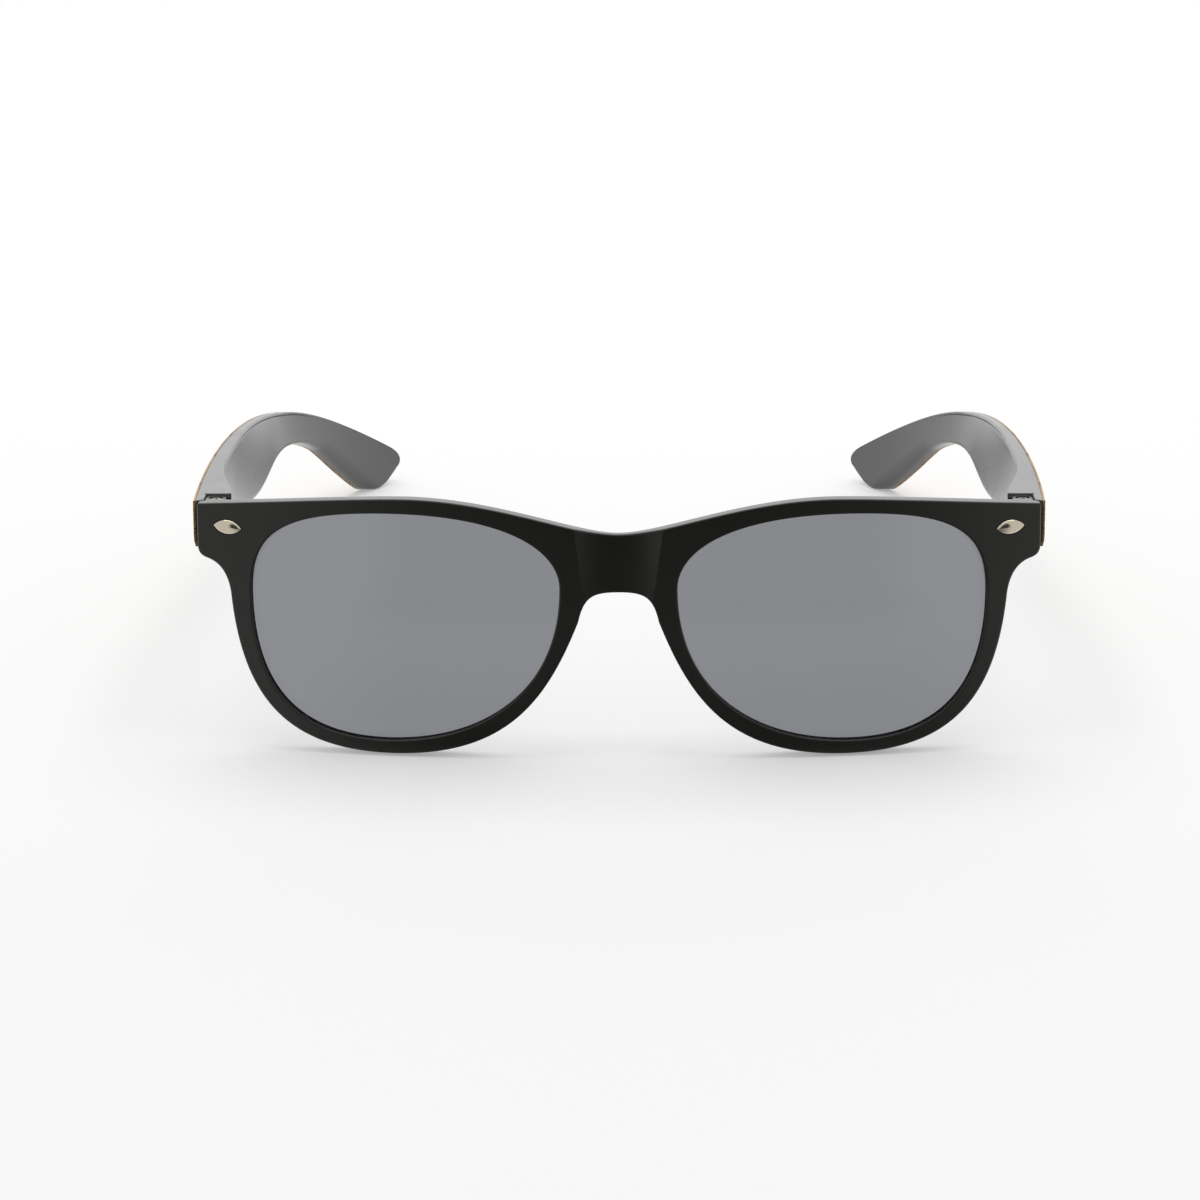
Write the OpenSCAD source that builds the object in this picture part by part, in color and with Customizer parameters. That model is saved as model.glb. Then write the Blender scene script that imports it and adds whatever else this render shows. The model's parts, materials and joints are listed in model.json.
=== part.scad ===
// Plastic sunglasses: a moulded wrap front with two lenses, and two folding temples on moulded screw hinges.
// Millimetres. +X is the wearer's left, +Y runs back along the temples, +Z is up.
// The glasses stand open on a flat surface, on the two rims and the two temple tips.

/* [Front] */
// Reach of the end-piece beyond the rim's side
end_reach = 5.6; // [4.8:0.1:7]
// Thickness of the moulded front
front_t = 3.4; // [3:0.1:4.4]
// Radius of the front's wrap around the face
wrap_r = 400; // [320:5:600]
// Rim above the lens, at the brow
rim_top = 2.6; // [2.2:0.1:4]
// Rim below the lens
rim_bottom = 2.4; // [2.2:0.1:4]
// Rim beside the lens, at the temple
rim_side = 3.4; // [3:0.1:5]
// Rim beside the lens, at the nose
rim_nose = 3.2; // [2.8:0.1:3.8]
// Height of the end-piece that carries the hinge
end_h = 9.3; // [9:0.1:11]
// Fall of the brow line from its peak to the end-piece
brow_fall = 1.7; // [1:0.1:3]

/* [Bridge] */
// Gap between the two lens openings
nose_gap = 20.2; // [19:0.2:23]
// Fall of the bridge's top edge below the top of the lenses
bridge_drop = 3.4; // [2:0.1:5]
// Height of the bridge in the middle
bridge_h = 10.1; // [8:0.1:12]
// Depth of the shallow saddle cut into the bridge's face
saddle_depth = 0.45; // [0.3:0.05:0.8]
// Radius of the saddle cut
saddle_r = 60; // [50:1:90]
// Lean of the saddle cut, in degrees: it is deeper at the top, so its edges draw together downwards
saddle_lean = 1; // [0:0.1:2]
// Reach of the nose pads behind the rims
pad_reach = 5; // [3:0.1:6]
// Height of the nose pads
pad_h = 20; // [16:0.5:22]

/* [Lenses] */
// Width of a lens opening
lens_w = 53.4; // [50:0.2:55]
// Height of a lens opening
lens_h = 40; // [38:0.5:44]
// Thickness of a lens
lens_t = 1.6; // [1.4:0.1:1.8]
// Radius of the lens's ball-shaped surface
lens_r = 160; // [140:1:200]
// Depth of the groove that holds the lens
groove_d = 0.8; // [0.5:0.05:1.2]
// Clearance of the lens in its groove
lens_gap = 0.05; // [0.03:0.01:0.08]

/* [Rivets] */
// Length of the almond-shaped rivet
rivet_l = 4.9; // [4:0.1:5.6]
// Height of the almond-shaped rivet
rivet_w = 2.5; // [2:0.1:3]
// Rise of the rivet's dome above the face
rivet_rise = 0.6; // [0.4:0.05:0.9]
// Depth of the rivet's seat in the face
rivet_seat = 0.3; // [0.2:0.05:0.5]
// Diameter of a rivet post
post_d = 1; // [0.8:0.05:1.2]
// Length of a rivet post behind its seat
post_l = 2; // [1.2:0.1:2.6]
// Distance from the end-piece's side to the rivet's middle
rivet_in = 5.3; // [4.8:0.1:6]

/* [Hinges] */
// Radius of the hinge knuckles
knuckle_r = 1.7; // [1.6:0.05:1.9]
// Distance from the end-piece's side to the hinge axis
hinge_in = 2.8; // [2.6:0.05:3]
// Thickness of each of the front's two lugs
lug_h = 2.5; // [2.2:0.1:2.8]
// Gap between lugs and temple knuckle
lug_gap = 0.12; // [0.08:0.02:0.2]
// Room around the knuckles for the swing
swing_gap = 0.35; // [0.3:0.05:0.5]
// Depth of the notch behind the knuckles
notch_d = 0.9; // [0.6:0.1:1.4]
// Diameter of the screw's shank
screw_d = 1.4; // [1.2:0.05:1.6]
// Diameter of the screw's head
head_d = 2.4; // [2.1:0.1:2.6]
// Height of the screw's head
head_h = 0.8; // [0.6:0.05:1]
// Radial clearance of the screw in its bores
screw_gap = 0.03; // [0.02:0.01:0.05]

/* [Temples] */
// Length of the temple from the front to the top corner of its tip
temple_l = 139.5; // [132:0.5:146]
// Length of the straight arm before the ear bend
arm_l = 102; // [96:0.5:106]
// Downward slope of the arm against the front
panto = 2; // [0:0.1:6]
// Thickness of the temple at the hinge, with its veneer
temple_t0 = 5.8; // [5.4:0.1:6.4]
// Thickness of the temple along the arm, with its veneer
temple_t = 3.1; // [2.8:0.1:3.6]
// Greatest height of the arm
arm_h = 13.4; // [12:0.1:15]
// Height of the temple at the ear bend
bend_h = 6.6; // [6:0.1:9]
// Height of the temple at its tip, along the slanted end
tip_h = 9.2; // [8:0.1:11]
// Drop of the tip's top corner below the start of the arm
tip_drop = 16; // [12:0.1:18]
// How far the tip curves in towards the head
tip_in = 22; // [14:0.2:24]
// Stand of the temple's outer face beyond the end-piece
temple_out = 0.7; // [0.5:0.1:1]
// Thickness of the veneer on the temple's outer face
veneer_t = 0.6; // [0.4:0.05:0.8]

/* [Hidden] */
$fn = 48;

// Half sizes and middle of a lens opening
a = lens_w / 2;
b = lens_h / 2;
cx = nose_gap / 2 + a;
cz = rim_bottom + b;

// Half the width over the two end-pieces: 72.5, so 145 over both
half_w = cx + a + rim_side + end_reach;

// Heights of the front's top edge: over the bridge, at the brow and at the end-piece
z_bridge = cz + b - bridge_drop;
z_brow = cz + b + rim_top;
z_end = z_brow - brow_fall;
z_under = z_end - end_h;
z_arch = z_bridge - bridge_h;

// Edge of the rim at the temple side and at the nose
x_side = cx + a + rim_side;
z_side = cz + 0.27 * b;
x_nose = cx - a - rim_nose;
z_nose = cz + 0.07 * b;

// Depth of the wrapped face at a distance x from the middle
function sag(x) = wrap_r - sqrt(wrap_r * wrap_r - x * x);

// Hinge axis, seen from above, and the flat back of the end-piece
x_hinge = half_w - hinge_in;
y_back = sag(x_hinge) + front_t + 0.3;
y_hinge = y_back + knuckle_r + swing_gap;

// Levels of the hinge stack: lugs outside, the temple's knuckle between
z_lug_top = z_end - 0.1;
z_lug_low = z_under + 0.6;
z_kn_top = z_lug_top - lug_h - lug_gap;
z_kn_low = z_lug_low + lug_h + lug_gap;

// Place of a lens: the wrap's own angle at the lens's middle, and a depth that keeps its edge,
// from the top of the rim to the deepest corner, midway between the rim's two faces
lens_turn = asin(cx / wrap_r);
edge_depth = 0.36 * a * a * (1 / (2 * lens_r) - 1 / (2 * wrap_r)) + 0.8 * b * b / (2 * lens_r);
lens_front = front_t / 2 - lens_t / 2 - edge_depth;

// Start of the temple's top edge, which the arm's slope turns about
y_arm = y_back;
z_arm = z_end + 0.3;
x_out = half_w + temple_out;

// A point on a cubic curve, and a run of n points along it without its end
function on_curve(p, t) = pow(1 - t, 3) * p[0] + 3 * t * pow(1 - t, 2) * p[1]
    + 3 * t * t * (1 - t) * p[2] + pow(t, 3) * p[3];
function curve(p, n) = [for (i = [0 : n - 1]) on_curve(p, i / n)];
function flipped(pts) = [for (i = [len(pts) - 1 : -1 : 0]) pts[i]];

// A line of points moved sideways by d, square to its own run
function beside(pts, d) = [for (i = [0 : len(pts) - 1])
    let (p = pts[max(i - 1, 0)], q = pts[min(i + 1, len(pts) - 1)], v = (q - p) / norm(q - p))
    pts[i] + d * [v[1], -v[0]]];

// The lens opening: flat at the brow, with its tightest corner at the temple side
function lens_loop(a, b) = concat(
    curve([[0.1 * a, b], [0.75 * a, b], [a, 0.84 * b], [a, 0.27 * b]], 10),
    curve([[a, 0.27 * b], [a, -0.62 * b], [0.69 * a, -b], [0.11 * a, -b]], 10),
    curve([[0.11 * a, -b], [-0.55 * a, -b], [-a, -0.49 * b], [-a, 0.36 * b]], 10),
    curve([[-a, 0.36 * b], [-a, 0.7 * b], [-0.66 * a, b], [0.1 * a, b]], 10));

// The outer edge of the front's left half, from the top of the bridge round to its arch
function half_edge() = concat(
    curve([[0, z_bridge], [0.2 * cx, z_bridge], [0.57 * cx, z_brow], [cx, z_brow]], 12),
    curve([[cx, z_brow], [cx + 8, z_brow], [half_w - 13, z_end + 0.7], [half_w - 0.5, z_end]], 7),
    curve([[half_w - 0.5, z_end], [half_w - 0.2, z_end], [half_w, z_end - 0.2], [half_w, z_end - 0.5]], 3),
    curve([[half_w, z_under + 1.8], [half_w, z_under + 0.5], [half_w - 0.8, z_under], [half_w - 1.7, z_under - 0.3]], 4),
    curve([[half_w - 1.7, z_under - 0.3], [half_w - 4, z_under - 1.1], [x_side + 0.4, z_side + 3], [x_side, z_side]], 6),
    curve([[x_side, z_side], [x_side - 0.06 * a, z_side - 0.95 * b], [cx + 0.78 * a, 0], [cx + 0.07 * a, 0]], 14),
    curve([[cx + 0.07 * a, 0], [cx - 0.66 * a, 0], [x_nose + 5.4, cz - 0.62 * b], [x_nose, z_nose]], 14),
    curve([[x_nose, z_nose], [x_nose - 1, z_arch - 0.6], [0.65 * x_nose, z_arch], [0, z_arch]], 7));

// Outlines in the front's own plane
module whole_edge() {
    h = half_edge();
    polygon(concat(h, [[0, z_arch]], [for (i = [len(h) - 1 : -1 : 1]) [-h[i][0], h[i][1]]]));
}

module lens_shape(grow) {
    polygon(lens_loop(a + grow, b + grow));
}

// Stands a flat outline up in the front's plane, from y0 to y1
module upright(y0, y1) {
    translate([0, y1, 0]) rotate([90, 0, 0]) linear_extrude(y1 - y0) children();
}

// The wrapped wall between two depths behind the face
module wrap_wall(d0, d1) {
    translate([0, wrap_r, -20]) difference() {
        cylinder(r = wrap_r - d0, h = 90, $fn = 720);
        translate([0, 0, -1]) cylinder(r = wrap_r - d1, h = 92, $fn = 720);
    }
}

// Puts a piece at the middle of the left lens, square to the wrap there
module at_lens() {
    translate([cx, sag(cx), cz]) rotate([0, 0, lens_turn]) children();
}

// Ball-shaped shell that the lens and its groove are cut from
module ball_shell(play) {
    translate([0, lens_front + lens_r, 0]) difference() {
        sphere(r = lens_r + play, $fn = 240);
        sphere(r = lens_r - lens_t - play, $fn = 240);
    }
}

module lens_body(grow, play) {
    at_lens() intersection() {
        ball_shell(play);
        upright(-6, 9) lens_shape(grow);
    }
}

// Places for the rivet on the left end-piece, square to the face, outer end raised
module at_rivet() {
    rx = half_w - rivet_in;
    rz = z_end - end_h / 2 + 0.7;
    translate([rx, sag(rx), rz]) rotate([0, 0, asin(rx / wrap_r)]) rotate([0, -7, 0]) children();
}

// Almond outline: two arcs that meet in points
module almond(l, w) {
    r = (l * l + w * w) / (4 * w);
    intersection() {
        translate([0, r - w / 2]) circle(r = r, $fn = 96);
        translate([0, w / 2 - r]) circle(r = r, $fn = 96);
    }
}

module rivet_posts(d, l) {
    for (s = [-1, 1])
        translate([s * rivet_l / 5, l, 0]) rotate([90, 0, 0]) cylinder(d = d, h = l, $fn = 32);
}

module rivet() {
    dome_r = (rivet_l * rivet_l / 4 + rivet_rise * rivet_rise) / (2 * rivet_rise);
    at_rivet() union() {
        intersection() {
            upright(-rivet_rise, rivet_seat) almond(rivet_l, rivet_w);
            translate([0, dome_r - rivet_rise, 0]) sphere(r = dome_r, $fn = 128);
        }
        translate([0, rivet_seat - 0.1, 0]) rivet_posts(post_d, post_l + 0.1);
    }
}

// Room in the end-piece for the rivet and its posts
module rivet_room() {
    at_rivet() union() {
        upright(-2, rivet_seat + 0.02) almond(rivet_l + 0.12, rivet_w + 0.1);
        rivet_posts(post_d + 0.04, rivet_seat + post_l + 0.05);
    }
}

// One lug of the front's hinge fork: a round knuckle on a root
module lug(z0, h) {
    translate([x_hinge, y_hinge, z0]) cylinder(r = knuckle_r, h = h);
    translate([x_hinge - knuckle_r, y_back - 1, z0]) cube([2 * knuckle_r, y_hinge - y_back + 1, h]);
}

// Solid corner of the end-piece with its flat back
module end_block() {
    intersection() {
        upright(0, 30) whole_edge();
        translate([x_hinge - knuckle_r - 0.5, sag(x_hinge) + 1, z_under - 1])
            cube([half_w, y_back - sag(x_hinge) - 1, end_h + 3]);
    }
}

// What is cut from the back of the end-piece: its flat, and the mitre at the outer corner
module end_cuts() {
    translate([x_hinge - knuckle_r - 0.5, y_back, 0]) cube([20, 20, 80]);
    translate([half_w - 1.5, y_back, 0]) rotate([0, 0, -45]) translate([-5, 0, 0]) cube([20, 10, 80]);
}

// A moulded nose pad: the rim's own nose edge carried back and rounded off by a barrel cut
module nose_pad() {
    pad_r = (pad_h * pad_h / 4 + pad_reach * pad_reach) / (2 * pad_reach);
    pad_z = cz - 0.2 * b;
    y0 = sag(cx - a) + front_t;
    intersection() {
        difference() {
            upright(1, y0 + pad_reach + 2) whole_edge();
            at_lens() upright(-6, 30) lens_shape(0.4);
            translate([-80, -1, z_arch - 1.5]) cube([160, 60, 60]);
        }
        translate([0, y0 + pad_reach - pad_r, pad_z]) rotate([0, 90, 0]) cylinder(r = pad_r, h = cx, $fn = 96);
        translate([0, sag(cx - a) + front_t / 2, -5]) cube([cx - 0.25 * a, 30, 60]);
    }
}

module half_front() {
    difference() {
        union() {
            intersection() {
                upright(-1, 30) whole_edge();
                wrap_wall(0, front_t);
                translate([0, -5, -5]) cube([90, 60, 80]);
            }
            end_block();
            nose_pad();
        }
        at_lens() upright(-20, 40) lens_shape(0);
        lens_body(groove_d + lens_gap, lens_gap);
        end_cuts();
        rivet_room();
    }
    difference() {
        union() {
            lug(z_lug_top - lug_h, lug_h);
            lug(z_lug_low, lug_h);
        }
        translate([x_hinge, y_hinge, 0]) cylinder(d = screw_d + 2 * screw_gap, h = 80, $fn = 32);
        translate([x_hinge, y_hinge, z_lug_top - head_h - 0.1])
            cylinder(d = head_d + 4 * screw_gap, h = 5, $fn = 32);
    }
}

// Saddle: a wide barrel laid against the bridge
module saddle_cut() {
    translate([0, saddle_depth - saddle_r, z_bridge - bridge_h / 2])
        rotate([-saddle_lean, 0, 0]) cylinder(r = saddle_r, h = 40, center = true, $fn = 360);
}

// Side view of the temple: x runs along the arm, y is up
tip_dir = [-0.66, -0.75];
low_dir = [-0.83, 0.56];
tip_a = [temple_l - 2.9, -tip_drop + 1.75];
tip_b = [temple_l, -tip_drop];
tip_c = tip_b + tip_h * tip_dir;

// Length behind the ear bend, and heights of the lower edge there: its highest point, and a share f of the way
// down from it to the tip's lower corner
behind = temple_l - arm_l;
z_bend = -1.35 - bend_h;
function low(f) = (1 - f) * z_bend + f * tip_c[1];
function side_top() = concat(
    curve([[-4, -0.3], [0.29 * arm_l, -0.2], [0.69 * arm_l, 2.7], [arm_l, -1.4]], 14),
    curve([[arm_l, -1.4], [arm_l + 13, -3.0], [temple_l - 12, -tip_drop + 7.4], tip_a], 10));
function side_tip() = concat(
    curve([tip_a, tip_b + [-1.2, 0.7], tip_b + [-0.3, -0.3], tip_b + 0.22 * tip_h * tip_dir], 6),
    curve([tip_c - 0.3 * tip_h * tip_dir + [0.25, -0.22], tip_c - 0.06 * tip_h * tip_dir, tip_c + 0.5 * low_dir,
           tip_c + 2.2 * low_dir], 6));
function side_low() = concat(
    curve([tip_c + 2.2 * low_dir, tip_c + [-5.1, 3.5], [arm_l + 0.53 * behind, low(0.365)],
           [arm_l + 0.43 * behind, low(0.217)]], 6),
    curve([[arm_l + 0.43 * behind, low(0.217)], [arm_l + 0.33 * behind, low(0.09)],
           [arm_l + 0.19 * behind, z_bend], [arm_l + 0.05 * behind, z_bend]], 6),
    curve([[arm_l + 0.05 * behind, z_bend], [0.92 * arm_l, z_bend], [0.82 * arm_l, 0.45 - arm_h],
           [0.69 * arm_l, 0.45 - arm_h]], 9),
    curve([[0.69 * arm_l, 0.45 - arm_h], [0.45 * arm_l, 0.45 - arm_h], [0.2 * arm_l, -2.2 - end_h],
           [0.3, 1 - end_h]], 10),
    [[-3, 1.3 - end_h]]);

// Plan of the temple: x runs along the arm, y is out from the middle of the head
function plan_out() = concat(
    curve([[-5, x_out - 0.1], [0.25 * arm_l, x_out + 1.8], [0.61 * arm_l, x_out + 1.6],
           [0.9 * arm_l, x_out - 2.2]], 14),
    curve([[0.9 * arm_l, x_out - 2.2], [arm_l + 6, x_out - 4], [temple_l - 15, x_out - 0.45 * tip_in],
           [temple_l + 2, x_out - tip_in - 3.4]], 12),
    [[temple_l + 2, x_out - tip_in - 3.4]]);
function plan_in() = concat(
    [[-5, x_out - temple_t0]],
    curve([[5, x_out - temple_t0], [0.12 * arm_l, x_out - temple_t0 + 0.1],
           [0.22 * arm_l, x_out - temple_t + 0.9], [0.32 * arm_l, x_out - temple_t + 1.2]], 7),
    curve([[0.32 * arm_l, x_out - temple_t + 1.2], [0.49 * arm_l, x_out - temple_t + 1.9],
           [0.73 * arm_l, x_out - temple_t - 1.5], [0.9 * arm_l, x_out - temple_t - 2.2]], 10),
    curve([[0.9 * arm_l, x_out - temple_t - 2.2], [arm_l + 4, x_out - temple_t - 3.4],
           [temple_l - 17, x_out - temple_t - 0.4 * tip_in], [temple_l + 2, x_out - temple_t - tip_in - 4.4]], 12),
    [[temple_l + 2, x_out - temple_t - tip_in - 4.4]]);

// Turns the temple's own frame to the arm's slope, about the start of its top edge
module at_arm() {
    translate([0, y_arm, z_arm]) rotate([-panto, 0, 0]) children();
}

// A temple layer: the side view carried across, cut by a layer of the plan
module temple_layer(outer, inner) {
    at_arm() intersection() {
        rotate([90, 0, 90]) linear_extrude(100) polygon(concat(side_top(), side_tip(), side_low()));
        translate([0, 0, -60]) linear_extrude(80)
            polygon([for (p = concat(outer, flipped(inner))) [p[1], p[0]]]);
    }
}

// What is cut from the temple's front end: the butt against the end-piece and its mitre
module butt_cuts() {
    translate([0, y_back - 19.8, 0]) cube([half_w - 1.35, 20, 80]);
    translate([half_w - 1.5, y_back + 0.15, 0]) rotate([0, 0, -45]) translate([-10, -20, 0]) cube([40, 20, 80]);
    translate([0, y_back - 23.6, 0]) cube([90, 20, 80]);
}

module temple() {
    difference() {
        temple_layer(beside(plan_out(), veneer_t), plan_in());
        butt_cuts();
        translate([0, -10, 0]) cube([x_hinge + knuckle_r + 0.25, y_hinge + knuckle_r + notch_d + 10, 80]);
    }
    difference() {
        union() {
            translate([x_hinge, y_hinge, z_kn_low]) cylinder(r = knuckle_r, h = z_kn_top - z_kn_low);
            translate([x_hinge - knuckle_r, y_hinge, z_kn_low])
                cube([2 * knuckle_r + 0.5, knuckle_r + notch_d + 0.2, z_kn_top - z_kn_low]);
        }
        translate([x_hinge, y_hinge, 0]) cylinder(d = screw_d + 2 * screw_gap, h = 80, $fn = 32);
    }
}

module veneer() {
    difference() {
        temple_layer(plan_out(), beside(plan_out(), veneer_t));
        butt_cuts();
    }
}

module screw() {
    translate([x_hinge, y_hinge, 0]) difference() {
        union() {
            translate([0, 0, z_lug_low + 0.3])
                cylinder(d = screw_d, h = z_lug_top - head_h - z_lug_low - 0.2, $fn = 32);
            translate([0, 0, z_lug_top - head_h - 0.1]) cylinder(d = head_d, h = head_h, $fn = 32);
        }
        for (t = [0, 90])
            rotate([0, 0, t + 20]) translate([-0.8, -0.15, z_lug_top - 0.1 - 0.4]) cube([1.6, 0.3, 1]);
    }
}

// Stance: the whole turns until the backs of the rims and the temple tips stand on one level
y_rim = sag(cx + 0.07 * a) + front_t;
tip_pts = [for (p = concat(side_tip(), side_low()))
    [y_arm + p[0] * cos(panto) + p[1] * sin(panto), z_arm - p[0] * sin(panto) + p[1] * cos(panto)]];
lean = -min([for (p = tip_pts) if (p[0] > arm_l) atan2(p[1], p[0] - y_rim)]);
y_first = min([for (p = half_edge()) sag(p[0]) * cos(lean) - p[1] * sin(lean)]);
y_last = max([for (p = tip_pts) p[0] * cos(lean) - p[1] * sin(lean)]);

module stand() {
    translate([0, -(y_first + y_last) / 2, -y_rim * sin(lean)]) rotate([lean, 0, 0]) children();
}

module right_side() {
    mirror([1, 0, 0]) children();
}

module front_frame() {
    color("#2b2b2a") stand() difference() {
        union() {
            half_front();
            right_side() half_front();
        }
        saddle_cut();
    }
}

module left_lens() { color("#87888c") stand() lens_body(groove_d, 0); }
module right_lens() { color("#87888c") stand() right_side() lens_body(groove_d, 0); }
module left_front_rivet() { color("#d9d2c4") stand() rivet(); }
module right_front_rivet() { color("#d9d2c4") stand() right_side() rivet(); }
module left_hinge_screw() { color("#b9b6ae") stand() screw(); }
module right_hinge_screw() { color("#b9b6ae") stand() right_side() screw(); }
module left_temple() { color("#3a3a39") stand() temple(); }
module right_temple() { color("#3a3a39") stand() right_side() temple(); }
module left_temple_veneer() { color("#c8934f") stand() veneer(); }
module right_temple_veneer() { color("#c8934f") stand() right_side() veneer(); }

front_frame();
left_lens();
right_lens();
left_front_rivet();
right_front_rivet();
left_hinge_screw();
right_hinge_screw();
left_temple();
right_temple();
left_temple_veneer();
right_temple_veneer();
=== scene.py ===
"""Plastic sunglasses: satin black moulded front and temples, smoke lenses, nickel rivets and wood veneer.

Every piece is drawn in millimetres in the front's own upright frame, mostly as a plate between two curved
faces with rounded edges. It is then stood in the row frame, in metres, leaning as the left hinge's axis says."""
import json
import math

import bmesh
import bpy
import numpy as np
from mathutils import Matrix, Vector
from mathutils.geometry import tessellate_polygon


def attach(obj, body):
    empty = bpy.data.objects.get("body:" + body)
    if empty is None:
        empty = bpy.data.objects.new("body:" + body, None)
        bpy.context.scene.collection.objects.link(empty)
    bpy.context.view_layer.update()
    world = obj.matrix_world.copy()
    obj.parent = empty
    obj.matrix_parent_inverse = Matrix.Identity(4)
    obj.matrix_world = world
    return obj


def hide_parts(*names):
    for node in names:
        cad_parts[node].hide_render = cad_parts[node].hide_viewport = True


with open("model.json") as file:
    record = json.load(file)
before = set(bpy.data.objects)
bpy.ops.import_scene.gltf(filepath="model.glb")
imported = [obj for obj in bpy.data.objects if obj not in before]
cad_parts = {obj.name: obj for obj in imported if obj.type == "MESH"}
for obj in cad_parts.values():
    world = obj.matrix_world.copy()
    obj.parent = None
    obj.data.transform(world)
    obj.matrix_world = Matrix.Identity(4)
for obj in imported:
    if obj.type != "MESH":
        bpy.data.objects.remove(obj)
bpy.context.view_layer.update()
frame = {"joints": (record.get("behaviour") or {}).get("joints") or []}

# ---- Sizes in millimetres, the same as the solids' ----
FRONT_T, WRAP_R = 3.4, 400
RIM_TOP, RIM_BOTTOM, RIM_SIDE, RIM_NOSE = 2.6, 2.4, 3.4, 3.2
END_REACH, END_H, BROW_FALL = 5.6, 9.3, 1.7
MITRE, MITRE_GAP = 1.5, 0.15
NOSE_GAP, BRIDGE_DROP, BRIDGE_H = 20.2, 3.4, 10.1
SADDLE_DEPTH, SADDLE_R, SADDLE_LEAN = 0.45, 60, math.radians(1)
PAD_REACH, PAD_H = 5, 20
LENS_W, LENS_H, LENS_T, LENS_R, GROOVE_D = 53.4, 40, 1.6, 160, 0.8
RIVET_L, RIVET_W, RIVET_RISE, RIVET_SEAT = 4.9, 2.5, 0.6, 0.3
RIVET_IN, RIVET_UP, RIVET_TILT = 5.3, 0.7, math.radians(7)
KNUCKLE_R, HINGE_IN, LUG_H, LUG_GAP, SWING_GAP, NOTCH_D = 1.7, 2.8, 2.5, 0.12, 0.35, 0.9
SCREW_D, HEAD_D, HEAD_H, SCREW_GAP = 1.4, 2.4, 0.8, 0.03
TEMPLE_L, ARM_L, PANTO = 139.5, 102, math.radians(2)
TEMPLE_T0, TEMPLE_T, ARM_H, BEND_H, TIP_H = 5.8, 3.1, 13.4, 6.6, 9.2
TIP_DROP, TIP_IN, TEMPLE_OUT = 16, 22, 0.7

# ---- Finer than the solids' ----
SCOOP_R = 30                # how tightly the bridge's scoop is curved
LINE_W, LINE_D = 0.26, 0.3  # the line pressed beside the temple's inner edge
VENEER_SEEN = 0.42          # how much of the veneer's edge shows
NOTCH_MORE = 0.7            # how much further back the hinge's notch goes
PAD_SOFT = 0.45             # how softly the nose pads' swell grows out of the back
THINNER_UP = 1.1            # how much thinner the temple's upper edge gets before the ear bend
HEAD_DOME, CROSS_HALF, CROSS_REACH, CROSS_D = 0.14, 0.17, 0.74, 0.42  # the screw's head and its recess

# ---- How the plates are made ----
STRIP = 0.12                # width of the flat strip beside each rounding
MOST_ROUND = 0.42           # the share of a plate's thickness that one rounding may take
STEP = 0.02                 # half the width of a sudden step in a face
LINE_ROWS = ((1.6, 0), (1.1, 0), (0.85, 0.7), (0.65, 1), (0.45, 1), (0.25, 0.7), (0.02, 0))

# ---- Sizes that follow from them ----
A, B = LENS_W / 2, LENS_H / 2
CX, CZ = NOSE_GAP / 2 + A, RIM_BOTTOM + B
X_SIDE, Z_SIDE = CX + A + RIM_SIDE, CZ + 0.27 * B
X_NOSE, Z_NOSE = CX - A - RIM_NOSE, CZ + 0.07 * B
HALF_W = X_SIDE + END_REACH
X_MITRE = HALF_W - MITRE
Z_BRIDGE = CZ + B - BRIDGE_DROP
Z_ARCH = Z_BRIDGE - BRIDGE_H
Z_BROW = CZ + B + RIM_TOP
Z_END = Z_BROW - BROW_FALL
Z_UNDER = Z_END - END_H


def sag(x):
    """Depth of the wrapped face at a distance x from the middle."""
    return WRAP_R - np.sqrt(WRAP_R ** 2 - np.square(x))


X_HINGE = HALF_W - HINGE_IN
X_FLAT = X_HINGE - KNUCKLE_R - 0.5
Y_BACK = float(sag(X_HINGE)) + FRONT_T + 0.3
Y_HINGE = Y_BACK + KNUCKLE_R + SWING_GAP
Z_LUG_TOP, Z_LUG_LOW = Z_END - 0.1, Z_UNDER + 0.6
Z_KN_TOP, Z_KN_LOW = Z_LUG_TOP - LUG_H - LUG_GAP, Z_LUG_LOW + LUG_H + LUG_GAP
Z_HEAD = Z_LUG_TOP - 0.1
LENS_TURN = math.asin(CX / WRAP_R)
EDGE_DEPTH = 0.36 * A * A * (1 / (2 * LENS_R) - 1 / (2 * WRAP_R)) + 0.8 * B * B / (2 * LENS_R)
LENS_FRONT = FRONT_T / 2 - LENS_T / 2 - EDGE_DEPTH
PAD_R = (PAD_H ** 2 / 4 + PAD_REACH ** 2) / (2 * PAD_REACH)
PAD_Z = CZ - 0.2 * B
Y_ARM, Z_ARM = Y_BACK, Z_END + 0.3
X_OUT = HALF_W + TEMPLE_OUT
END_OUT = X_OUT - 0.1
NOTCH = Y_HINGE + KNUCKLE_R + NOTCH_D + NOTCH_MORE - Y_ARM
CHEEK = X_HINGE + KNUCKLE_R + 0.25

# ---- The stance: the left hinge's axis and place say how the whole leans and where it stands ----
fold = next(j for j in frame["joints"] if j["name"] == "left_temple_fold")
LEAN = -math.asin(fold["axis"][1] / math.hypot(*fold["axis"]))
TURN = Matrix.Rotation(LEAN, 3, "X")
SHIFT = Vector(fold["pos_m"]) * 1000 - TURN @ Vector((X_HINGE, Y_HINGE, (Z_KN_LOW + Z_KN_TOP) / 2))


def stand(x, y, z):
    """Points of the front's own frame, in mm, to the row frame, in metres."""
    return (np.stack([x, y, z], -1) @ np.array(TURN).T + np.array(SHIFT)) * 0.001


# ---- Outlines ----
def chain(start, *bends):
    """A run of Bezier curves. Each bend gives its number of points, two control points and its end."""
    runs = []
    for n, *points in bends:
        p, t = np.array([start, *points], float), np.linspace(0, 1, n + 1)[:-1, None]
        runs.append((1 - t) ** 3 * p[0] + 3 * t * (1 - t) ** 2 * p[1] + 3 * t * t * (1 - t) * p[2] + t ** 3 * p[3])
        start = points[-1]
    return np.vstack(runs + [[start]])


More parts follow.
